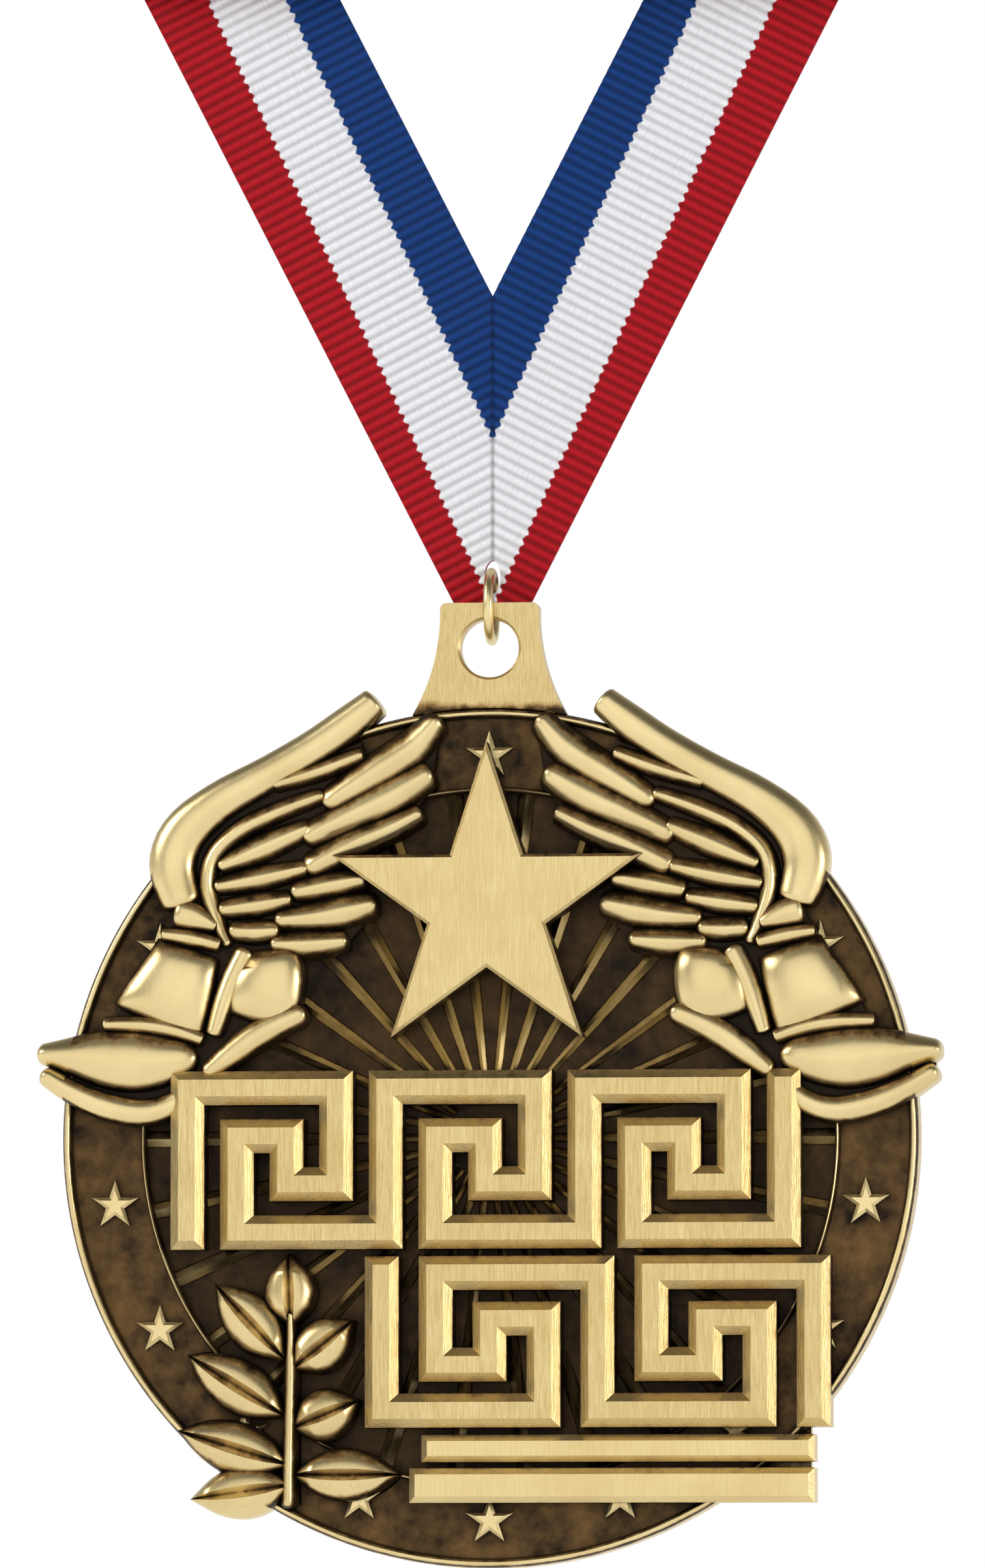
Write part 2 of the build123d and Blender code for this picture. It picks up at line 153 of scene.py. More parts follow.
# The room is plain white to the camera; what the metal mirrors is dimmer in front and overhead.
world = bpy.data.worlds.new("studio")
scene.world = world
world.use_nodes = True
tree = world.node_tree
tree.nodes.clear()
path = add_node(tree, "LightPath")
view = add_node(tree, "TexCoord")
side = add_node(tree, "SeparateXYZ", {0: view.outputs["Generated"]})
mirrored = add_node(tree, "MapRange", {"Value": side.outputs["Y"], "From Min": -0.2, "From Max": 0.9,
                                       "To Min": 0.42, "To Max": 1.0})
overhead = add_node(tree, "MapRange", {"Value": side.outputs["Z"], "From Min": 0.05, "From Max": 0.8,
                                       "To Min": 1.0, "To Max": 0.25})
mirrored = add_node(tree, "Math", {0: mirrored.outputs[0], 1: overhead.outputs[0]}, operation="MULTIPLY")
unseen = add_node(tree, "Mix", {0: path.outputs["Is Glossy Ray"], 2: 0.48, 3: mirrored.outputs[0]},
                  data_type="FLOAT")
seen = add_node(tree, "Math", {0: path.outputs["Is Camera Ray"], 1: path.outputs["Is Transmission Ray"]},
                operation="MAXIMUM")
strength = add_node(tree, "Mix", {0: seen.outputs[0], 2: unseen.outputs[0], 3: 1.0}, data_type="FLOAT")
sky = add_node(tree, "Background", {"Color": (1, 1, 1, 1), "Strength": strength.outputs[0]})
tree.links.new(sky.outputs[0], tree.nodes.new("ShaderNodeOutputWorld").inputs["Surface"])

# ------------------------------------------------------------------ base disc
# The disc is a zinc casting plated in antique gold: the plate is rubbed bright on what stands proud
# and keeps its dark brown patina in the hollows; faces that look up and tight gaps are darkened further
# as painted shade. Its field is the deepest floor of the relief.
back_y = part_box("base_disc")[1].y
bright_gold = (0.79, 0.645, 0.335, 1)
deep_gold = (0.46, 0.31, 0.105, 1)
brown_gold = (0.36, 0.215, 0.075, 1)
warm_brown = (0.19, 0.105, 0.036, 1)
near_black = (0.014, 0.009, 0.005, 1)


def level(height):
    """The depth of a level of the relief that stands this many millimetres above the flat back."""
    return back_y - height * mm


def new_group(name, inputs, outputs):
    """A shader node group with named float inputs and named outputs."""
    group = bpy.data.node_groups.new(name, "ShaderNodeTree")
    for socket, value in inputs.items():
        group.interface.new_socket(socket, in_out="INPUT", socket_type="NodeSocketFloat").default_value = value
    for socket, kind in outputs.items():
        group.interface.new_socket(socket, in_out="OUTPUT", socket_type="NodeSocket" + kind)
    return group, group.nodes.new("NodeGroupInput").outputs, group.nodes.new("NodeGroupOutput").inputs


plating, given, result = new_group(
    "antique_plating",
    {"Crest": 0.0, "Fade": 1.0 * mm, "Grain": 0.5, "Tone": 0.3, "Walls": 1.0, "Foot": -1.0},
    {"Color": "Color", "Roughness": "Float", "Metallic": "Float", "Height": "Float"},
)
foot_fade = 2.4 * mm

# How far rubbing reached: high faces that look forwards and not the walls, in open air. Faces that look up, and
# tight gaps found by ambient occlusion, are darkened as painted shade.
coords = add_node(plating, "TexCoord")
place = add_node(plating, "SeparateXYZ", {0: coords.outputs["Object"]})
turned = add_node(plating, "SeparateXYZ", {0: coords.outputs["Normal"]})
lowest = add_node(plating, "Math", {0: given["Crest"], 1: given["Fade"]}, operation="ADD")
raised = add_node(plating, "MapRange", {"Value": place.outputs["Y"], "From Min": lowest.outputs[0],
                                        "From Max": given["Crest"]}, interpolation_type="SMOOTHSTEP")
turned_away = add_node(plating, "MapRange", {"Value": turned.outputs["Y"], "From Min": -0.9, "From Max": -0.3})
# Faces that look up are darkened: painted shade on upper slopes.
painted_shade_up = add_node(plating, "MapRange", {"Value": turned.outputs["Z"], "From Min": 0.02, "From Max": 0.6,
                                           "To Max": 0.66})
turned_off_and_shaded = add_node(plating, "Math", {0: turned_away.outputs[0], 1: painted_shade_up.outputs[0]},
                      operation="MAXIMUM")
walled_and_shaded = add_node(plating, "Math", {0: turned_off_and_shaded.outputs[0], 1: given["Walls"]}, operation="MULTIPLY")
facing_and_lit = add_node(plating, "Math", {0: 1.0, 1: walled_and_shaded.outputs[0]}, operation="SUBTRACT")
# Ambient occlusion: tight gaps between forms are darkened by it as painted shade, and rubbing reaches them
# less.
occlusion_for_shade = add_node(plating, "AmbientOcclusion", {"Distance": 1.5 * mm}, samples=8)
reach_and_painted_shade = add_node(plating, "MapRange", {"Value": occlusion_for_shade.outputs["AO"], "From Min": 0.15, "From Max": 0.62})

# The edge past the rim and the back are handled, so they are bare; below the foot level the tab's gold fades to
# dark.
axis_to = add_node(plating, "CombineXYZ", {"X": disc_centre.x, "Z": disc_centre.z})
flat_place = add_node(plating, "CombineXYZ", {"X": place.outputs["X"], "Z": place.outputs["Z"]})
from_axis = add_node(plating, "VectorMath", {0: flat_place.outputs[0], 1: axis_to.outputs[0]},
                     operation="DISTANCE")
beyond = add_node(plating, "MapRange", {"Value": from_axis.outputs["Value"],
                                        "From Min": (disc_radius - 0.12) * mm,
                                        "From Max": (disc_radius + 0.02) * mm, "To Max": 0.85})
back = add_node(plating, "MapRange", {"Value": turned.outputs["Y"], "From Min": 0.5, "From Max": 0.9,
                                      "To Max": 0.8})
handled = add_node(plating, "Math", {0: beyond.outputs[0], 1: back.outputs[0]}, operation="MAXIMUM")
polish_and_painted_light = add_node(plating, "Math", {0: raised.outputs[0], 1: facing_and_lit.outputs[0]}, operation="MULTIPLY")
polish_and_painted_light = add_node(plating, "Math", {0: polish_and_painted_light.outputs[0], 1: handled.outputs[0]}, operation="MAXIMUM")
foot_end = add_node(plating, "Math", {0: given["Foot"], 1: foot_fade}, operation="ADD")
off_foot = add_node(plating, "MapRange", {"Value": place.outputs["Z"], "From Min": given["Foot"],
                                          "From Max": foot_end.outputs[0]}, interpolation_type="SMOOTHSTEP")
polish_and_painted_light = add_node(plating, "Math", {0: polish_and_painted_light.outputs[0], 1: off_foot.outputs[0]}, operation="MULTIPLY")
rubbing_and_painted_light = add_node(plating, "Math", {0: polish_and_painted_light.outputs[0], 1: reach_and_painted_shade.outputs[0]}, operation="MULTIPLY")

# Cast blotches, larger clouds and the upright lines of the linishing belt.
blotches = add_node(plating, "TexNoise", {"Vector": coords.outputs["Object"], "Scale": 700.0, "Detail": 6.0,
                                          "Roughness": 0.62})
clouds = add_node(plating, "TexNoise", {"Vector": coords.outputs["Object"], "Scale": 190.0, "Detail": 3.0})
stretch = add_node(plating, "Mapping", {"Vector": coords.outputs["Object"], "Scale": (1.0, 1.0, 0.07)})
streaks = add_node(plating, "TexNoise", {"Vector": stretch.outputs[0], "Scale": 7500.0, "Detail": 3.0,
                                         "Roughness": 0.7})

# Wear is rubbing made uneven by the blotches, and it also carries the painted shade of upturned faces and tight
# gaps; it uncovers brown gold first and bright gold last.
uneven = add_node(plating, "MapRange", {"Value": blotches.outputs["Fac"], "From Min": 0.3, "From Max": 0.7,
                                        "To Min": -0.22, "To Max": 0.12})
worn_and_painted_light = add_node(plating, "Math", {0: rubbing_and_painted_light.outputs[0], 1: uneven.outputs[0]}, operation="ADD")
wear_and_painted_light = add_node(plating, "MapRange", {"Value": worn_and_painted_light.outputs[0], "From Min": 0.10, "From Max": 0.70},
                interpolation_type="SMOOTHSTEP")
lined = add_node(plating, "MapRange", {"Value": streaks.outputs["Fac"], "From Min": 0.3, "From Max": 0.78,
                                       "To Min": 0.2})
sheen = add_node(plating, "Mix", {0: lined.outputs[0], 6: deep_gold, 7: bright_gold}, data_type="RGBA")
brushed = add_node(plating, "Mix", {0: given["Grain"], 6: bright_gold, 7: sheen.outputs[2]}, data_type="RGBA")
tint = add_node(plating, "MapRange", {"Value": clouds.outputs["Fac"], "From Min": 0.35, "From Max": 0.70,
                                      "To Min": 0.0, "To Max": 0.25})
gold = add_node(plating, "Mix", {0: tint.outputs[0], 6: brushed.outputs[2], 7: deep_gold}, data_type="RGBA")
mottle = add_node(plating, "Math", {0: blotches.outputs["Fac"], 1: clouds.outputs["Fac"]}, operation="ADD")
stain = add_node(plating, "MapRange", {"Value": mottle.outputs[0], "From Min": 0.70, "From Max": 1.30})
stain_and_painted_shade = add_node(plating, "Math", {0: stain.outputs[0], 1: given["Tone"]}, operation="MULTIPLY")
# In tight gaps the patina is darkened towards black by the occlusion: painted shade.
stain_and_painted_shade = add_node(plating, "Math", {0: stain_and_painted_shade.outputs[0], 1: reach_and_painted_shade.outputs[0]}, operation="MULTIPLY")
patina_and_painted_shade = add_node(plating, "Mix", {0: stain_and_painted_shade.outputs[0], 6: near_black, 7: warm_brown}, data_type="RGBA")
half_worn_and_lit = add_node(plating, "MapRange", {"Value": wear_and_painted_light.outputs[0], "From Min": 0.0, "From Max": 0.5})
well_worn_and_lit = add_node(plating, "MapRange", {"Value": wear_and_painted_light.outputs[0], "From Min": 0.35, "From Max": 0.95})
bared_and_lit = add_node(plating, "Mix", {0: well_worn_and_lit.outputs[0], 6: brown_gold, 7: gold.outputs[2]}, data_type="RGBA")
colour = add_node(plating, "Mix", {0: half_worn_and_lit.outputs[0], 6: patina_and_painted_shade.outputs[2], 7: bared_and_lit.outputs[2]},
                  data_type="RGBA")

# Bare gold is smoother than patina and is fully metallic; streaks and blotches give the fine relief.
rough_gold = add_node(plating, "MapRange", {"Value": streaks.outputs["Fac"], "To Min": 0.22, "To Max": 0.42})
rough = add_node(plating, "Mix", {0: wear_and_painted_light.outputs[0], 2: 0.38, 3: rough_gold.outputs[0]}, data_type="FLOAT")
metal = add_node(plating, "MapRange", {"Value": wear_and_painted_light.outputs[0], "To Min": 0.45, "To Max": 1.0})
ground = add_node(plating, "Math", {0: streaks.outputs["Fac"], 1: given["Grain"]}, operation="MULTIPLY")
relief = add_node(plating, "Math", {0: ground.outputs[0], 1: blotches.outputs["Fac"]}, operation="ADD")
for name, node in (("Color", colour.outputs[2]), ("Roughness", rough.outputs[0]),
                   ("Metallic", metal.outputs[0]), ("Height", relief.outputs[0])):
    plating.links.new(node, result[name])


def plated(name, crest, fade, grain=0.5, tone=0.3, bump=0.02, walls=1.0, foot=-1.0):
    """Antique gold, bright at the crest level and dark below it by the fade, both in millimetres.

    Grain is the linishing, tone the brown of the patina, walls how dark turned faces are, with faces that
    look up darkened as painted shade, bump the depth of the fine relief in millimetres, and foot the level
    in metres below which the gold fades to dark."""
    material, tree, surface = new_material(name)
    finish = add_node(tree, "Group", node_tree=plating)
    for socket, value in (("Crest", level(crest)), ("Fade", fade * mm), ("Grain", grain), ("Tone", tone),
                          ("Walls", walls), ("Foot", foot)):
        finish.inputs[socket].default_value = value
    dents = add_node(tree, "Bump", {"Height": finish.outputs["Height"], "Distance": bump * mm, "Strength": 1.0})
    metal = add_node(tree, "BsdfPrincipled", {
        "Base Color": finish.outputs["Color"], "Roughness": finish.outputs["Roughness"],
        "Metallic": finish.outputs["Metallic"], "Normal": dents.outputs[0], "Specular IOR Level": 0.12,
    })
    tree.links.new(metal.outputs[0], surface)
    return material


def finish_node(node, material):
    """Give a CAD node its own finish."""
    nodes[node].data.materials.clear()
    nodes[node].data.materials.append(material)


field_level = 1.4
band_level = 2.0
finish_node("base_disc", plated("dark_field", field_level + 1.1, 1.0, tone=0.35, bump=0.05))

# ------------------------------------------------------------------ border band, rim and bead
# The border is a shallow sunk band, cast with the disc, between a rounded rim and a fine bead.
# Both edges are rubbed bright; the band keeps a mottled brown patina.
finish_node("border_band", plated("brown_band", band_level + 1.1, 1.0, tone=0.95, bump=0.06))
border_width = 6.9


def on_disc(x, z, y):
    """A point of the artwork, in millimetres from the disc's centre, at a depth in metres."""
    return Vector((disc_centre.x + x * mm, y, disc_centre.z + z * mm))


def deselect():
    """Leave edit mode's object and everything else unselected."""
    bpy.ops.object.select_all(action="DESELECT")


def settle(piece, name, material, body="medal", node=None):
    """Put a piece's place in its mesh, name it, finish it and fasten it to its body."""
    deselect()
    bpy.context.view_layer.objects.active = piece
    piece.select_set(True)
    bpy.ops.object.transform_apply(location=True, rotation=True, scale=True)
    piece.name = name
    piece.data.materials.clear()
    piece.data.materials.append(material)
    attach(piece, body)
    if node:
        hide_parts(node)


ring_segments = 288
ring_sides = 20
sunk = 0.1  # millimetres that a raised piece reaches into what it stands on


def rounded_ring(name, radius, width, foot, top, node, material):
    """A ring with a rounded crest that stands on the band."""
    deselect()
    bpy.ops.mesh.primitive_torus_add(
        major_radius=radius * mm, minor_radius=width / 2 * mm, major_segments=ring_segments,
        minor_segments=ring_sides,
        location=on_disc(0, 0, level(foot)), rotation=(math.pi / 2, 0, 0))
    ring = bpy.context.object
    ring.scale.z = (top - foot) / (width / 2)
    settle(ring, name, material, node=node)
    bpy.ops.object.mode_set(mode="EDIT")
    bpy.ops.mesh.select_all(action="SELECT")
    bpy.ops.mesh.bisect(plane_co=(0, level(foot - sunk), 0), plane_no=(0, -1, 0), clear_inner=True,
                        use_fill=True, threshold=hair)
    bpy.ops.object.mode_set(mode="OBJECT")
    bpy.ops.object.shade_smooth_by_angle(angle=math.radians(50))


rim_width = 0.85
rim_level = 3.2
bead_width = 0.5
bead_level = 2.9
rounded_ring("rolled_rim", disc_radius - rim_width / 2, rim_width, band_level, rim_level, "outer_rim",
             plated("rim_gold", rim_level, 1.1, grain=0.2))
rounded_ring("fine_bead", disc_radius - border_width + bead_width / 2, bead_width, band_level, bead_level,
             "bead_ring", plated("bead_gold", bead_level, 0.8, grain=0.2))

# ------------------------------------------------------------------ sun rays
# Thirty thin ridges are cast into the field and spread from the disc's centre to the bead.
# Each is a long four-sided spike, half sunk in the floor.
ray_count = 30
ray_start = 3.5
ray_end = disc_radius - border_width
ray_inner_radius = 0.34
ray_outer_radius = 0.72
ray_middle = (ray_start + ray_end) / 2
rays = []
for index in range(ray_count):
    angle = 2 * math.pi * index / ray_count
    deselect()
    bpy.ops.mesh.primitive_cone_add(
        vertices=4, radius1=ray_inner_radius * mm, radius2=ray_outer_radius * mm,
        depth=(ray_end - ray_start) * mm,
        location=on_disc(ray_middle * math.cos(angle), ray_middle * math.sin(angle), level(field_level)),
        rotation=(0, math.pi / 2 - angle, 0))
    ray = bpy.context.object
    bpy.ops.object.transform_apply(location=True, rotation=True, scale=True)
    rays.append(ray)


def join(pieces):
    """Make one object of several."""
    deselect()
    for piece in pieces:
        piece.select_set(True)
    bpy.context.view_layer.objects.active = pieces[0]
    bpy.ops.object.join()
    return bpy.context.object


ray_gold = plated("ray_gold", 1.6, 0.2, grain=0.3, tone=0.4, walls=0.7)
settle(join(rays), "ray_ridges", ray_gold, node="sun_rays")

# ------------------------------------------------------------------ border stars
# Eighteen small upright stars are spaced round the band, each with a flat top and bevelled sides.
# The wings are cast over four of them, which are left out; each other is shaped from a ten-sided disc.
star_count = 18
small_star_radius = 2.05
border_star_level = 2.9
star_ring = (disc_radius - border_width + disc_radius - rim_width) / 2
inner_share = 0.382
star_bevel = 0.25
star_bevel_rise = 0.2
bevel_steepness = 0.8


def make_star(radius, foot, top, centre_x, centre_z, bevel):
    """A five-pointed star that stands upright on a level, with its top edge bevelled."""
    deselect()
    bpy.ops.mesh.primitive_circle_add(vertices=10, radius=radius * mm, fill_type="NGON",
                                      location=on_disc(centre_x, centre_z, level(foot)),
                                      rotation=(math.pi / 2, 0, 0))
    star = bpy.context.object
    for vertex in star.data.vertices:
        if vertex.index % 2:
            vertex.co *= inner_share
    bpy.ops.object.mode_set(mode="EDIT")
    bpy.ops.mesh.select_all(action="SELECT")
    bpy.ops.mesh.extrude_region_move(TRANSFORM_OT_translate={"value": (0, (foot - top) * mm, 0)})
    bpy.ops.mesh.inset(thickness=bevel * mm)
    bpy.ops.transform.translate(value=(0, -bevel * bevel_steepness * mm, 0))
    bpy.ops.mesh.select_all(action="SELECT")
    bpy.ops.mesh.normals_make_consistent(inside=False)
    bpy.ops.object.mode_set(mode="OBJECT")
    bpy.ops.object.transform_apply(location=True, rotation=True, scale=True)
    return star


stars = []
wing_hides = (1, 2, 16, 17)
for index in range(star_count):
    if index in wing_hides:
        continue
    angle = math.pi / 2 + 2 * math.pi * index / star_count
    stars.append(make_star(small_star_radius, band_level, border_star_level - star_bevel_rise,
                           star_ring * math.cos(angle), star_ring * math.sin(angle), star_bevel))
small_star_gold = plated("small_star_gold", border_star_level - 0.4, 0.5, grain=0.3, walls=0.8)
settle(join(stars), "small_stars", small_star_gold, node="border_stars")

# ------------------------------------------------------------------ centre star, frets and bars
# The star, the two key frets and the two bars are the highest casting, flat on top and linished,
# so their faces carry a fine upright grain and their bevels shine.
star_level = 5.4
ornament_level = 5.0
bar_level = 4.6
finish_node("centre_star", plated("linished_star", star_level, 1.1, grain=0.75))
fret_gold = plated("linished_fret", ornament_level, 1.9, grain=1.0, walls=0.55)
finish_node("upper_fret", fret_gold)
finish_node("lower_fret", fret_gold)
bar_gold = plated("linished_bar", bar_level, 1.6, grain=0.5, walls=0.55)
finish_node("upper_bar", bar_gold)
finish_node("lower_bar", bar_gold)

# ------------------------------------------------------------------ laurel sprig
# A sprig of laurel fills the lower left, its leaves crowned and each parted by a sunk vein.
# It is cast with the disc and hangs a little over its edge.
shoulder_share = 0.45
spine_samples = 96
strip_columns = 40
strip_rows = 14
vein_width = 0.13
leaf_tip_height = 0.3
leaf_tip_length = 2.2


def smooth_line(values, samples):
    """Values along a smooth curve through a few given ones, at evenly spaced stations."""
    last = len(values) - 1
    line = []
    for sample in range(samples + 1):
        station = sample / samples * last
        index = min(int(station), last - 1)
        t = station - index
        before, start, end, after = (values[max(index - 1, 0)], values[index], values[index + 1],
                                     values[min(index + 2, last)])
        line.append((start * 2 + (end - before) * t + (before * 2 - start * 5 + end * 4 - after) * t * t
                     + (start * 3 - before - end * 3 + after) * t ** 3) / 2)
    return line


def crowned_strip(hand, spine, widths, foot, top, fullness=2.0, vein=0.0, pointed=False,
                  shoulder=shoulder_share, end_round=1.0, pillow=0.0):
    """A raised strip round a spine, with one width at each of its points and a crowned top.

    The shoulder is the share of the height that its edges have; fullness squares the crown's section,
    end_round rounds its ends in plan, pillow lowers them, and vein sinks a line along its middle."""
    samples = spine_samples
    last = len(spine) - 1
    start, end = Vector(spine[0]), Vector(spine[last])
    reach = 0.5 * end_round if not pointed else 0.0
    start = start + (start - Vector(spine[1])).normalized() * widths[0] * reach
    end = end + (end - Vector(spine[last - 1])).normalized() * widths[last] * reach
    line = smooth_line([start, *[Vector(point) for point in spine[1:last]], end], samples)
    width_line = smooth_line(list(widths), samples)
    length = sum((b - a).length for a, b in zip(line, line[1:]))
    deselect()
    bpy.ops.mesh.primitive_grid_add(x_subdivisions=strip_columns, y_subdivisions=strip_rows, size=1)
    strip = bpy.context.object
    for vertex in strip.data.vertices:
        along = 0.5 - 0.5 * math.cos((vertex.co.x + 0.5) * math.pi)
        across = math.sin(vertex.co.y * math.pi)
        index = min(int(along * samples), samples - 1)
        part = along * samples - index
        centre = line[index].lerp(line[index + 1], part)
        heading = (line[index + 1] - line[index]).normalized()
        width = width_line[index] * (1 - part) + width_line[index + 1] * part
        from_end = min(along, 1 - along) * length
        rounding = max(widths[0] if along < 0.5 else widths[last], 0.05) / 2 * end_round
        close = min(from_end / rounding, 1.0) if not pointed else 1.0
        narrowing = math.sqrt(max(1 - (1 - close) ** 2, 0.0))
        aside = Vector((-heading.y, heading.x)) * across * width / 2 * narrowing
        spot = centre + aside
        crown = max(1 - abs(across) ** fullness, 0.0) ** (1 / fullness)
        if pointed:
            crown *= min(1.0, leaf_tip_height + from_end / leaf_tip_length)
        else:
            crown *= math.sqrt(narrowing)
        crown *= 1 - pillow * abs(2 * along - 1) ** 4
        crown -= vein * math.exp(-((across / vein_width) ** 2)) * crown
        rise = foot + (top - foot) * (shoulder + (1 - shoulder) * crown)
        vertex.co = on_disc(hand * spot.x, spot.y, level(rise))
    bpy.ops.object.mode_set(mode="EDIT")
    bpy.ops.mesh.select_all(action="SELECT")
    bpy.ops.mesh.extrude_region_move(TRANSFORM_OT_translate={"value": (0, 0, 0)})
    bpy.ops.object.mode_set(mode="OBJECT")
    for vertex in strip.data.vertices:
        if vertex.select:
            vertex.co.y = level(foot - sunk)
    bpy.ops.object.mode_set(mode="EDIT")
    bpy.ops.mesh.select_all(action="SELECT")
    bpy.ops.mesh.remove_doubles(threshold=0.004 * mm)
    bpy.ops.mesh.normals_make_consistent(inside=False)
    bpy.ops.object.mode_set(mode="OBJECT")
    bpy.ops.object.shade_smooth_by_angle(angle=math.radians(48))
    return strip


leaf_width = 4.4
leaf_vein = 0.3
leaf_fullness = 2.2
stem_drop = 0.5
# Each leaf: where it leaves the stem, its angle in degrees and its length.
sprig_leaves = [
    (-16.0, -28.2, 188, 8.4), (-16.2, -26.6, 163, 9.6), (-16.6, -22.6, 148, 9.4), (-16.6, -18.0, 133, 8.4),
    (-15.9, -27.4, 0, 8.8), (-16.0, -23.6, 22, 6.0), (-16.0, -18.8, 38, 6.4), (-16.1, -15.4, 92, 6.0),
]
sprig = []
for x, z, angle, length in sprig_leaves:
    along = Vector((math.cos(math.radians(angle)), math.sin(math.radians(angle)))) * length
    foot_point = Vector((x, z))
    spine = [foot_point + along * share for share in (0.0, 0.25, 0.5, 0.75, 1.0)]
    widths = [0.5, leaf_width * 0.82, leaf_width, leaf_width * 0.72, 0.1]
    sprig.append(crowned_strip(1, spine, widths, field_level, ornament_level, leaf_fullness, vein=leaf_vein,
                               pointed=True))
stem_spine = [(-16.3, -29.4), (-16.2, -24.0), (-16.1, -19.0), (-16.1, -14.6)]
sprig.append(crowned_strip(1, stem_spine, [1.5, 1.3, 1.2, 0.9], field_level, ornament_level - stem_drop))
settle(join(sprig), "laurel_leaves", plated("leaf_gold", ornament_level, 2.0, grain=0.4, tone=0.2, walls=0.8),
       node="laurel_sprig")

# ------------------------------------------------------------------ winged shoes
# A running shoe with a wing at its heel stands on each side, the right one the mirror of the left.
# Soles, toe caps, trims, panels and feathers are crowned forms with dark valleys between them.
shoe_level = 4.7
wing_level = 4.4
shoe_gold = plated("shoe_gold", shoe_level - 0.3, 1.2, grain=0.2, tone=0.3)
wing_gold = plated("wing_gold", wing_level - 0.1, 1.35, grain=0.2, tone=0.3)
ground_patina = plated("ground_patina", 5.0, 1.0, tone=0.1, bump=0.04)
ground_level = 3.0
ground_bevel = 0.2


def ground_plate(hand, outline, foot, top):
    """The low ground between raised forms, with an outline of straight runs."""
    deselect()
    bpy.ops.mesh.primitive_circle_add(vertices=len(outline), radius=mm, fill_type="NGON")
    plate = bpy.context.object
    for vertex, (x, z) in zip(plate.data.vertices, outline):
        vertex.co = on_disc(hand * x, z, level(foot))
    bpy.ops.object.mode_set(mode="EDIT")
    bpy.ops.mesh.select_all(action="SELECT")
    bpy.ops.mesh.extrude_region_move(TRANSFORM_OT_translate={"value": (0, (foot - top) * mm, 0)})
    bpy.ops.mesh.bevel(offset=ground_bevel * mm, segments=2)
    bpy.ops.mesh.select_all(action="SELECT")
    bpy.ops.mesh.normals_make_consistent(inside=False)
    bpy.ops.object.mode_set(mode="OBJECT")
    return plate


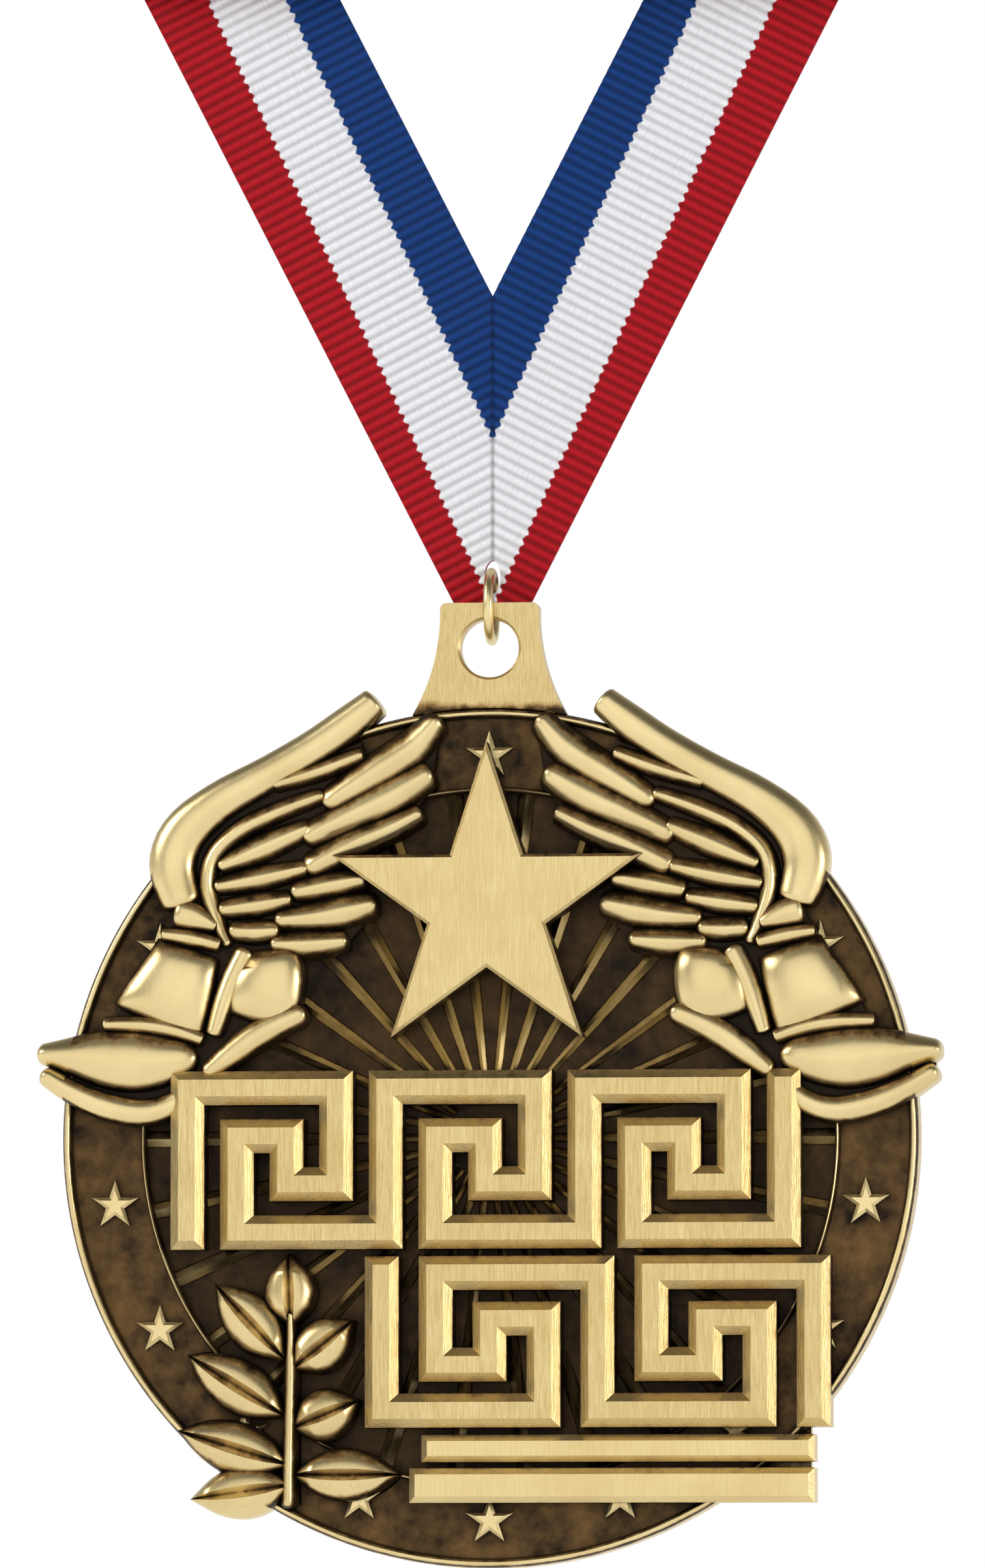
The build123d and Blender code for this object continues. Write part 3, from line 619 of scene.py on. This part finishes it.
for side, hand in (("left", -1), ("right", 1)):
    # Outlines and spines of the right shoe, in millimetres from the disc's centre, with their widths.
    ground = [
        (10.5, 32.4), (16.5, 30.2), (21.5, 27.2), (24.4, 24.6), (25.4, 21.5), (25.6, 18.6), (27.0, 16.2),
        (28.2, 14.4), (31.2, 9.4), (32.0, 8.2), (36.0, 6.8), (36.0, 4.6), (34.6, 3.2), (28.5, 1.7), (24.6, 3.4),
        (20.8, 6.2), (15.3, 9.8), (15.3, 13.0), (16.2, 15.2), (11.6, 15.7), (9.6, 18.3), (10.8, 21.2),
        (13.4, 22.4), (6.6, 25.7), (4.6, 28.6), (4.0, 32.9), (5.6, 32.7), (10.0, 30.8),
    ]
    soles = [
        ([(35.9, 4.95), (34.2, 3.9), (31.5, 2.7), (28.5, 2.1), (26.2, 2.6), (24.9, 3.5)],
         [1.6, 2.0, 2.3, 2.3, 2.1, 1.7]),
        ([(15.7, 9.9), (17.3, 9.2), (19.3, 8.1), (21.2, 6.7), (22.6, 5.6)], [1.9, 2.2, 2.4, 2.2, 1.5]),
    ]
    toes = [([(36.2, 6.9), (34.6, 6.8), (32.2, 6.6), (29.6, 6.35), (27.2, 6.3), (25.0, 6.5)],
             [1.5, 2.9, 4.5, 5.2, 4.6, 2.6])]
    trims = [
        ([(31.2, 9.3), (28.2, 9.25), (25.6, 8.8), (23.6, 8.1)], [1.3, 1.6, 1.6, 1.3]),
        ([(26.4, 16.6), (24.3, 16.3), (22.2, 15.8)], [1.2, 1.6, 1.3]),
        ([(20.0, 14.9), (20.8, 13.3), (21.5, 11.6), (22.0, 10.0), (22.4, 8.7)], [2.0, 2.0, 1.9, 1.8, 1.5]),
    ]
    collars = [([(25.0, 18.3), (23.9, 18.0), (22.4, 17.3)], [2.6, 2.3, 1.0])]
    uppers = [
        ([(24.6, 15.3), (25.3, 13.4), (26.2, 11.4), (27.0, 9.6)], [5.3, 6.4, 7.3, 8.0]),
        ([(17.8, 15.2), (17.7, 13.6), (18.2, 11.9), (19.0, 9.6)], [4.0, 5.4, 6.2, 5.6]),
    ]
    edges = [([(25.2, 19.6), (25.9, 22.2), (24.9, 25.0), (22.0, 27.5), (18.0, 29.7), (14.4, 31.8), (11.6, 33.7),
               (9.6, 35.3)], [3.3, 3.9, 3.8, 3.3, 3.0, 2.9, 2.9, 2.4])]
    coverts = [
        ([(13.9, 27.8), (17.0, 26.7), (20.2, 25.2), (22.4, 23.2), (23.0, 20.8), (22.4, 18.2), (21.4, 16.0)],
         [1.5, 1.9, 1.9, 1.8, 1.8, 1.7, 1.2]),
        ([(21.6, 22.3), (18.4, 23.7), (15.1, 25.1)], [1.6, 2.6, 1.8]),
        ([(21.9, 20.6), (18.6, 21.2), (15.3, 21.9)], [1.6, 2.3, 1.6]),
        ([(21.5, 18.7), (19.1, 19.0), (16.6, 19.4)], [1.7, 2.3, 1.6]),
        ([(20.6, 16.9), (19.1, 16.8), (17.7, 16.9)], [1.9, 2.3, 1.8]),
    ]
    primaries = [
        ([(17.2, 28.9), (13.6, 30.0), (10.7, 31.1)], [1.5, 1.9, 1.5]),
        ([(12.8, 27.6), (10.0, 29.4), (7.4, 31.0), (5.8, 32.2), (4.6, 33.6)], [2.4, 3.1, 3.3, 3.1, 2.2]),
        ([(14.4, 24.8), (10.8, 26.5), (7.8, 27.9), (5.4, 29.3)], [2.4, 3.1, 3.3, 2.6]),
        ([(14.2, 22.3), (11.0, 23.9), (8.2, 25.1), (6.0, 26.2)], [2.5, 2.8, 2.4, 1.8]),
        ([(15.5, 20.1), (13.0, 20.6), (10.6, 21.0)], [1.9, 2.4, 1.8]),
        ([(16.8, 17.8), (14.4, 18.0), (12.0, 18.4), (9.8, 18.9)], [1.9, 2.6, 3.0, 2.1]),
        ([(17.2, 15.8), (14.6, 15.8), (12.1, 16.0)], [1.8, 2.5, 1.8]),
    ]
    # Each piece: its strips, crest level, fullness, shoulder, end_round, pillow and finish.
    groups = [
        ("shoe_sole", soles, shoe_level, 2.2, 0.6, 1.0, 0.0, shoe_gold),
        ("shoe_toe", toes, shoe_level + 0.2, 2.0, 0.5, 1.0, 0.25, shoe_gold),
        ("shoe_trim", trims, shoe_level - 0.2, 2.0, 0.6, 0.6, 0.0, shoe_gold),
        ("shoe_upper", uppers, shoe_level + 0.2, 2.4, 0.5, 0.12, 0.85, shoe_gold),
        ("shoe_collar", collars, shoe_level, 2.2, 0.6, 0.6, 0.2, shoe_gold),
        ("wing_edge", edges, wing_level + 0.2, 2.2, 0.55, 0.5, 0.0, wing_gold),
        ("wing_coverts", coverts, wing_level, 1.7, 0.45, 0.8, 0.1, wing_gold),
        ("wing_primaries", primaries, wing_level, 1.7, 0.45, 0.8, 0.1, wing_gold),
    ]
    settle(ground_plate(hand, ground, field_level - sunk, ground_level), f"{side}_shoe_ground", ground_patina)
    for name, strips, top, fullness, shoulder, end_round, pillow, material in groups:
        made = [crowned_strip(hand, spine, widths, field_level, top, fullness,
                              shoulder=shoulder, end_round=end_round, pillow=pillow)
                for spine, widths in strips]
        piece = join(made) if len(made) > 1 else made[0]
        stands_for = "shoe_upper" if name == "shoe_collar" else name
        settle(piece, f"{side}_{name}_relief", material, node=f"{side}_{stands_for}")

# ------------------------------------------------------------------ hanger tab and jump ring
# The tab is cast with the disc and pierced for the ring; its face is linished upright.
# The ring is round wire, plated like the casting, with the saw cut that lets it open at its back.
tab_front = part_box("hanger_tab")[0].y
tab_level = (back_y - tab_front) / mm
tab_foot = disc_centre.z + (disc_radius - 0.9) * mm
finish_node("hanger_tab", plated("linished_tab", tab_level, 1.2, grain=1.0, bump=0.03, foot=tab_foot))
ring_back = (back_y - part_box("jump_ring")[1].y) / mm
finish_node("jump_ring", plated("ring_gold", ring_back - 0.5, 1.0, grain=0.1, walls=0.0))

# ------------------------------------------------------------------ neck ribbon
# One grosgrain ribbon, 762 mm long, is woven in red, white and blue with ribs across it. Its ends
# are sewn in a mitre behind the tab and its loop is wound into a flat bundle, belted by its own middle.
ribbon_width = 14.3
ribbon_thickness = 0.36
rib_pitch = 0.86
rib_height = 0.065
leg_low, leg_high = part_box("right_ribbon_leg")
leg_angle = math.radians(27.1)
leg_along = Vector((math.sin(leg_angle), math.cos(leg_angle)))
leg_across = Vector((-math.cos(leg_angle), math.sin(leg_angle)))
leg_corner = Vector((leg_high.x, leg_high.z)) / mm
stripe_drift = 0.0027


def ribbon_strip(name, length, place, samples_per_rib, columns):
    """A closed ribbed strip; place turns the way along it, the share across it and a lift to a point."""
    ribs = max(round(length / rib_pitch), 1)
    deselect()
    bpy.ops.mesh.primitive_grid_add(x_subdivisions=ribs * samples_per_rib, y_subdivisions=columns, size=1)
    strip = bpy.context.object
    strip.name = name
    bpy.ops.object.mode_set(mode="EDIT")
    bpy.ops.mesh.select_all(action="SELECT")
    bpy.ops.mesh.extrude_region_move(TRANSFORM_OT_translate={"value": (0, 0, 0)})
    bpy.ops.object.mode_set(mode="OBJECT")
    weave = strip.data.uv_layers.active
    weave.name = "weave"
    spots = []
    for vertex in strip.data.vertices:
        along, across = (vertex.co.x + 0.5) * length, vertex.co.y + 0.5
        face = 1 if vertex.select else -1
        wave = math.cos(2 * math.pi * along / rib_pitch)
        spot, drift = place(along, across, face * (ribbon_thickness / 2 + rib_height * wave))
        spots.append((across + drift, along / rib_pitch))
        vertex.co = spot * mm
    for loop in strip.data.loops:
        weave.data[loop.index].uv = spots[loop.vertex_index]
    bpy.ops.object.mode_set(mode="EDIT")
    bpy.ops.mesh.select_all(action="SELECT")
    bpy.ops.mesh.normals_make_consistent(inside=False)
    bpy.ops.object.mode_set(mode="OBJECT")
    return strip


def cut(strip, *planes):
    """Cut a strip by planes, each a point in millimetres and a normal, and drop what is beyond them."""
    deselect()
    bpy.context.view_layer.objects.active = strip
    strip.select_set(True)
    bpy.ops.object.mode_set(mode="EDIT")
    for point, normal in planes:
        bpy.ops.mesh.select_all(action="SELECT")
        bpy.ops.mesh.bisect(plane_co=Vector(point) * mm, plane_no=normal, clear_outer=True, use_fill=True,
                            threshold=hair)
    bpy.ops.object.mode_set(mode="OBJECT")


tip_z = leg_low.z / mm
tip_clearance = 0.35
leg_top_z = 1.5
leg_start = (tip_z - 8.0) / math.cos(leg_angle)
leg_length = -leg_start + 2.5
flap_length = 32.0
seam_reach = 0.45
stripes_meet_z = -2.5
seam_sink = 0.16
allowance_width = 3.8
allowance_lift = -0.52
ribbon_pieces = []


def leg_spot(along, across):
    """Where a point of the right leg lies in the ribbon's plane, from its outer top corner."""
    return leg_corner + leg_along * (leg_start + along) + leg_across * across * ribbon_width


eyelet_z = tip_z + 3.6
eyelet_radius = 0.65
eyelet_stretch = 2.1
for side, hand in (("left", -1), ("right", 1)):
    def leg_place(along, across, lift):
        spot = leg_spot(along, across)
        sink = seam_sink * max(1 - abs(spot.x) / seam_reach, 0.0)
        return Vector((hand * spot.x, sink - lift, spot.y)), stripe_drift * (stripes_meet_z - spot.y)

    def allowance_place(along, across, lift):
        spot = leg_spot(along, across)
        return Vector((-hand * spot.x, lift - allowance_lift, spot.y)), stripe_drift * (stripes_meet_z - spot.y)

    leg = ribbon_strip(side + "_leg", leg_length, leg_place, 8, 20)
    middle_plane = ((0, 0, 0), (-hand, 0, 0))
    tip_plane = ((0, 0, tip_z + tip_clearance), (0, 0, -1))
    cut(leg, middle_plane, tip_plane, ((0, 0, leg_top_z), (0, 0, 1)))
    flap = ribbon_strip(side + "_flap", flap_length, allowance_place, 6, 20)
    outer_edge = (hand * (leg_corner.x - 0.25), 0, leg_corner.y)
    cut(flap, middle_plane, ((hand * allowance_width, 0, 0), (hand, 0, 0)), tip_plane,
        (outer_edge, (hand * math.cos(leg_angle), 0, -math.sin(leg_angle))))
    for piece in (leg, flap):
        deselect()
        bpy.ops.mesh.primitive_cylinder_add(vertices=32, radius=eyelet_radius * mm, depth=6 * mm,
                                            location=(0, 0, eyelet_z * mm), rotation=(math.pi / 2, 0, 0))
        punch = bpy.context.object
        punch.scale.y = eyelet_stretch
        bpy.context.view_layer.objects.active = piece
        hole = piece.modifiers.new("eyelet", "BOOLEAN")
        hole.operation = "DIFFERENCE"
        hole.object = punch
        bpy.ops.object.modifier_apply(modifier="eyelet")
        bpy.data.objects.remove(punch)
        ribbon_pieces.append(piece)

bundle_low, bundle_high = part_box("ribbon_bundle")
ply_reach = ribbon_thickness / 2 + rib_height
outer_turn = (bundle_high.y - bundle_low.y) / 2 / mm - ply_reach
inner_turn = 0.75
wind_pitch = 0.55
half_run = (bundle_high.x - bundle_low.x) / 2 / mm - outer_turn - ply_reach
half_turns = int((outer_turn - inner_turn) / wind_pitch * 2)
arc_steps = 20
inner_end = 12.0
outer_end = 0.62
winding = [Vector((-half_run + inner_end, -inner_turn))]
for half in range(half_turns):
    end = 1 if half % 2 == 0 else -1
    for step in range(arc_steps + 1):
        radius = inner_turn + wind_pitch / 2 * (half + step / arc_steps)
        angle = math.pi * step / arc_steps
        winding.append(Vector((end * (half_run + radius * math.sin(angle)), -end * radius * math.cos(angle))))
winding.append(Vector((winding[-1].x * -outer_end, winding[-1].y)))

belt_y = bundle_high.y / mm + ply_reach
belt_low_z, belt_high_z = bundle_low.z / mm - ply_reach, bundle_high.z / mm + ply_reach
belt_corner = 0.9
belt_start_z, belt_end_z = 5.5, 9.0
belt_overlap = 0.5
belt_steps = 8
waist_pinch = 0.05
waist_reach = 10.0
belt = [Vector((belt_y, belt_start_z))]
for centre, first in (((belt_y - belt_corner, belt_high_z - belt_corner), 0),
                      ((-belt_y + belt_corner, belt_high_z - belt_corner), 90),
                      ((-belt_y + belt_corner, belt_low_z + belt_corner), 180),
                      ((belt_y - belt_corner, belt_low_z + belt_corner), 270)):
    for step in range(belt_steps + 1):
        angle = math.radians(first + 90 * step / belt_steps)
        belt.append(Vector(centre) + Vector((math.cos(angle), math.sin(angle))) * belt_corner)
belt.append(Vector((belt_y, belt_end_z)))


def measure(path):
    """How far along a path each of its points is."""
    marks = [0.0]
    for start, end in zip(path, path[1:]):
        marks.append(marks[-1] + (end - start).length)
    return marks


def walk(path, marks, distance):
    """The point at a distance along a path, and the direction to its right there."""
    index = min(max(bisect.bisect_right(marks, distance) - 1, 0), len(path) - 2)
    start, end = path[index], path[index + 1]
    ahead = (end - start).normalized()
    return start + ahead * (distance - marks[index]), Vector((ahead.y, -ahead.x))


winding_marks = measure(winding)
belt_marks = measure(belt)


def winding_place(along, across, lift):
    spot, outwards = walk(winding, winding_marks, along)
    spot = spot + outwards * lift
    pinch = 1 - waist_pinch * math.exp(-((spot.x / waist_reach) ** 2))
    return Vector((spot.x, spot.y * pinch, across * ribbon_width)), 0.0


def belt_place(along, across, lift):
    spot, outwards = walk(belt, belt_marks, along)
    spot = spot + outwards * (lift + belt_overlap * along / belt_marks[-1])
    return Vector(((across - 0.5) * ribbon_width, spot.x, spot.y)), 0.0


ribbon_pieces.append(ribbon_strip("winding", winding_marks[-1], winding_place, 4, 4))
ribbon_pieces.append(ribbon_strip("belt", belt_marks[-1], belt_place, 6, 10))

# The cloth's own UV runs once across the width and one unit for each rib: the stripes' borders step
# with the ribs, threads run across, and the valleys between ribs and the sewn seam are darkened as painted
# shade.
ribbon_red = (0.47, 0.006, 0.014, 1)
ribbon_white = (0.90, 0.90, 0.93, 1)
ribbon_blue = (0.005, 0.045, 0.21, 1)
cloth, tree, surface = new_material("striped_grosgrain")
weave = add_node(tree, "UVMap", uv_map="weave")
thread_place = add_node(tree, "SeparateXYZ", {0: weave.outputs[0]})
turn = add_node(tree, "Math", {0: thread_place.outputs["Y"], 1: 2 * math.pi}, operation="MULTIPLY")
rib = add_node(tree, "Math", {0: turn.outputs[0]}, operation="COSINE")
crest = add_node(tree, "MapRange", {"Value": rib.outputs[0], "From Min": -1.0, "From Max": 0.3})
scallop = add_node(tree, "Math", {0: rib.outputs[0], 1: 0.009}, operation="MULTIPLY")
spin_scale = add_node(tree, "Mapping", {"Vector": weave.outputs[0], "Scale": (150.0, 0.55, 1.0)})
threads = add_node(tree, "TexNoise", {"Vector": spin_scale.outputs[0], "Scale": 1.0, "Detail": 3.0,
                                      "Roughness": 0.6})
fray_scale = add_node(tree, "Mapping", {"Vector": weave.outputs[0], "Scale": (3.0, 1.0, 1.0)})
fray = add_node(tree, "TexNoise", {"Vector": fray_scale.outputs[0], "Scale": 1.3, "Detail": 4.0,
                                   "Roughness": 0.7})
ragged = add_node(tree, "MapRange", {"Value": fray.outputs["Fac"], "From Min": 0.3, "From Max": 0.7,
                                     "To Min": -0.008, "To Max": 0.008})
border = add_node(tree, "Math", {0: thread_place.outputs["X"], 1: scallop.outputs[0]}, operation="ADD")
border = add_node(tree, "Math", {0: border.outputs[0], 1: ragged.outputs[0]}, operation="ADD")
past_red = add_node(tree, "MapRange", {"Value": border.outputs[0], "From Min": 0.316, "From Max": 0.324})
past_white = add_node(tree, "MapRange", {"Value": border.outputs[0], "From Min": 0.716, "From Max": 0.724})
outer_colour = add_node(tree, "Mix", {0: past_red.outputs[0], 6: ribbon_red, 7: ribbon_white}, data_type="RGBA")
stripes = add_node(tree, "Mix", {0: past_white.outputs[0], 6: outer_colour.outputs[2], 7: ribbon_blue},
                   data_type="RGBA")
bleached = add_node(tree, "Math", {0: past_red.outputs[0], 1: past_white.outputs[0]}, operation="SUBTRACT")
valley = add_node(tree, "Math", {0: bleached.outputs[0], 1: 0.2, 2: 0.5}, operation="MULTIPLY_ADD")
# Rib valleys are darkened, less on the white stripe: painted shade.
shade = add_node(tree, "MapRange", {"Value": crest.outputs[0], "To Min": valley.outputs[0], "To Max": 1.0})
coords = add_node(tree, "TexCoord")
place = add_node(tree, "SeparateXYZ", {0: coords.outputs["Object"]})
# A thin line down the seam of the legs, below the bundle, is darkened: painted shade in the crease.
from_seam = add_node(tree, "Math", {0: place.outputs["X"]}, operation="ABSOLUTE")
crease = add_node(tree, "MapRange", {"Value": from_seam.outputs[0], "From Min": 0.04 * mm,
                                     "From Max": 0.26 * mm, "To Min": 0.58})
wound = add_node(tree, "MapRange", {"Value": place.outputs["Z"], "From Min": -2.0 * mm, "From Max": 0.0})
seam_painted_shade = add_node(tree, "Math", {0: crease.outputs[0], 1: wound.outputs[0]}, operation="MAXIMUM")
shade = add_node(tree, "Math", {0: shade.outputs[0], 1: seam_painted_shade.outputs[0]}, operation="MULTIPLY")
spun = add_node(tree, "MapRange", {"Value": threads.outputs["Fac"], "From Min": 0.25, "From Max": 0.75,
                                   "To Min": 0.84, "To Max": 1.08})
# depth is the painted rib and seam shade times the threads' own tone.
depth = add_node(tree, "Math", {0: shade.outputs[0], 1: spun.outputs[0]}, operation="MULTIPLY")
dyed_and_painted_shade = add_node(tree, "Mix", {0: 1.0, 6: stripes.outputs[2], 7: depth.outputs[0]}, data_type="RGBA",
                blend_type="MULTIPLY")
dull = add_node(tree, "MapRange", {"Value": threads.outputs["Fac"], "To Min": 0.5, "To Max": 0.8})
height = add_node(tree, "Math", {0: threads.outputs["Fac"], 1: crest.outputs[0]}, operation="ADD")
twist = add_node(tree, "Bump", {"Height": height.outputs[0], "Distance": 0.05 * mm, "Strength": 0.8})
fabric = add_node(tree, "BsdfPrincipled", {
    "Base Color": dyed_and_painted_shade.outputs[2], "Roughness": dull.outputs[0], "Normal": twist.outputs[0],
    "Sheen Weight": 0.08, "Sheen Roughness": 0.4, "Specular IOR Level": 0.15,
})
tree.links.new(fabric.outputs[0], surface)

neck_ribbon = join(ribbon_pieces)
settle(neck_ribbon, "neck_ribbon", cloth, body="ribbon")
bpy.ops.object.shade_smooth_by_angle(angle=math.radians(60))
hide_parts("left_ribbon_leg", "right_ribbon_leg", "ribbon_bundle", "waist_wrap", "seam_allowance")

# ------------------------------------------------------------------ seam stitches
# Two rows of white polyester thread hold the pressed ends down behind the mitre.
# Each stitch is a short arch of thread that dips into the weave at both ends.
stitch_low, stitch_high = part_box("seam_stitches")
stitch_length = 1.2
stitch_pitch = 2.0
thread_width = 0.3
row_inset = (stitch_high.x - stitch_low.x) / 2 / mm - thread_width / 2
stitch_count = round(((stitch_high.z - stitch_low.z) / mm - stitch_length) / stitch_pitch) + 1
thread_y = 0.5 + ply_reach + 0.03
# Each point of a stitch: its share of the length, and its lift from the weave in millimetres.
stitch_arch = ((-0.5, -0.45), (-0.45, 0.05), (0, 0.12), (0.45, 0.05), (0.5, -0.45))
stitches = []
for row in (-1, 1):
    for index in range(stitch_count):
        middle = stitch_low.z / mm + stitch_length / 2 + index * stitch_pitch
        deselect()
        bpy.ops.curve.primitive_nurbs_path_add()
        stitch = bpy.context.object
        line = stitch.data.splines[0]
        for point, (share, lift) in zip(line.points, stitch_arch):
            point.co = (row * row_inset * mm, (thread_y + lift) * mm, (middle + share * stitch_length) * mm, 1)
        stitch.data.bevel_depth = thread_width / 2 * mm
        stitch.data.bevel_resolution = 2
        stitch.data.use_fill_caps = True
        bpy.ops.object.convert(target="MESH")
        stitches.append(bpy.context.object)

thread, tree, surface = new_material("white_polyester")
coords = add_node(tree, "TexCoord")
lay = add_node(tree, "Mapping", {"Vector": coords.outputs["Object"], "Rotation": (0, 0.6, 0),
                                 "Scale": (1.0, 1.0, 0.25)})
plies = add_node(tree, "TexNoise", {"Vector": lay.outputs[0], "Scale": 9000.0, "Detail": 2.0})
shade = add_node(tree, "MapRange", {"Value": plies.outputs["Fac"], "To Min": 0.62, "To Max": 0.9})
spun = add_node(tree, "CombineColor", {0: shade.outputs[0], 1: shade.outputs[0], 2: shade.outputs[0]})
dull = add_node(tree, "MapRange", {"Value": plies.outputs["Fac"], "To Min": 0.45, "To Max": 0.7})
twist = add_node(tree, "Bump", {"Height": plies.outputs["Fac"], "Distance": 0.04 * mm})
fibre = add_node(tree, "BsdfPrincipled", {"Base Color": spun.outputs[0], "Roughness": dull.outputs[0],
                                          "Normal": twist.outputs[0], "Sheen Weight": 0.2})
tree.links.new(fibre.outputs[0], surface)
seam_thread = join(stitches)
settle(seam_thread, "seam_thread", thread, body="ribbon")
bpy.ops.object.mode_set(mode="EDIT")
bpy.ops.mesh.select_all(action="SELECT")
bpy.ops.mesh.remove_doubles(threshold=hair)
bpy.ops.object.mode_set(mode="OBJECT")
bpy.ops.object.shade_smooth_by_angle(angle=math.radians(60))
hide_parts("seam_stitches")
